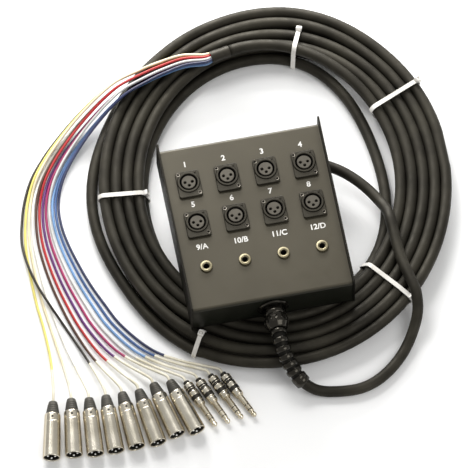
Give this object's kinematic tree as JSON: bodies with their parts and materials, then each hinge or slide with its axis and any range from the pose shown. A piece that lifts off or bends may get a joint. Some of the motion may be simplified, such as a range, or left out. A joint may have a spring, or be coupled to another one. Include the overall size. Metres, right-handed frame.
{
  "type": "stage box snake",
  "caption": "Steel stage box with panel sockets and a gland, on its own wound multicore cable with a fan of tails that end in microphone and jack plugs.",
  "frame": {"origin": "middle of the panel's outer face", "axes": "+X across the panel to the right as its labels read, +Y along the panel to its rear edge away from the gland, +Z out of the panel"},
  "size_m": [0.4995, 0.4898, 0.0765],
  "materials": {
    "panel_paint": "satin dark warm grey enamel",
    "cheek_paint": "satin near-black enamel",
    "socket_black": "satin black coated die casting",
    "insert_grey": "matt dark grey moulding",
    "nickel": "bright nickel plate, with a grey rubber boot on the mic plugs",
    "pale_nickel": "pale brass-tinted plate",
    "gland_nylon": "glossy black nylon",
    "jacket_rubber": "matt dark grey-brown jacket",
    "sleeve_black": "matt black heat-shrink sleeve",
    "tie_nylon": "natural nylon",
    "tail_yellow": "thin coloured jacket, white sleeve near the plug",
    "tail_cream": "thin coloured jacket, white sleeve near the plug",
    "tail_white": "thin coloured jacket, white sleeve near the plug",
    "tail_black": "thin coloured jacket, white sleeve near the plug",
    "tail_brown": "thin coloured jacket, white sleeve near the plug",
    "tail_red": "thin coloured jacket, white sleeve near the plug",
    "tail_purple": "thin coloured jacket, white sleeve near the plug",
    "tail_magenta": "thin coloured jacket, white sleeve near the plug",
    "tail_light_grey": "thin coloured jacket, white sleeve near the plug",
    "tail_light_blue": "thin coloured jacket, white sleeve near the plug",
    "tail_slate_blue": "thin coloured jacket, white sleeve near the plug",
    "tail_navy": "thin coloured jacket, white sleeve near the plug"
  },
  "bodies": {
    "root": {"panel_shell": "panel_paint", "left_cheek": "cheek_paint", "right_cheek": "cheek_paint", "base_plate": "cheek_paint", "mic_socket_1": "socket_black", "mic_insert_1": "insert_grey", "mic_socket_2": "socket_black", "mic_insert_2": "insert_grey", "mic_socket_3": "socket_black", "mic_insert_3": "insert_grey", "mic_socket_4": "socket_black", "mic_insert_4": "insert_grey", "mic_socket_5": "socket_black", "mic_insert_5": "insert_grey", "mic_socket_6": "socket_black", "mic_insert_6": "insert_grey", "mic_socket_7": "socket_black", "mic_insert_7": "insert_grey", "mic_socket_8": "socket_black", "mic_insert_8": "insert_grey", "jack_socket_a": "pale_nickel", "jack_socket_b": "pale_nickel", "jack_socket_c": "pale_nickel", "jack_socket_d": "pale_nickel", "gland_body": "gland_nylon", "gland_locknut": "gland_nylon", "strain_relief": "gland_nylon", "lead_cable": "jacket_rubber", "main_coil": "jacket_rubber", "cable_tie_1": "tie_nylon", "cable_tie_2": "tie_nylon", "cable_tie_3": "tie_nylon", "cable_tie_4": "tie_nylon", "cable_tie_5": "tie_nylon", "breakout_sleeve": "sleeve_black", "tail_1": "tail_yellow", "tail_2": "tail_cream", "tail_3": "tail_white", "tail_4": "tail_black", "tail_5": "tail_brown", "tail_6": "tail_red", "tail_7": "tail_purple", "tail_8": "tail_magenta", "tail_9": "tail_light_grey", "tail_10": "tail_light_blue", "tail_11": "tail_slate_blue", "tail_12": "tail_navy", "mic_plug_1": "nickel", "mic_plug_2": "nickel", "mic_plug_3": "nickel", "mic_plug_4": "nickel", "mic_plug_5": "nickel", "mic_plug_6": "nickel", "mic_plug_7": "nickel", "mic_plug_8": "nickel", "jack_plug_a": "nickel", "jack_plug_b": "nickel", "jack_plug_c": "nickel", "jack_plug_d": "nickel"}
  },
  "joints": []
}
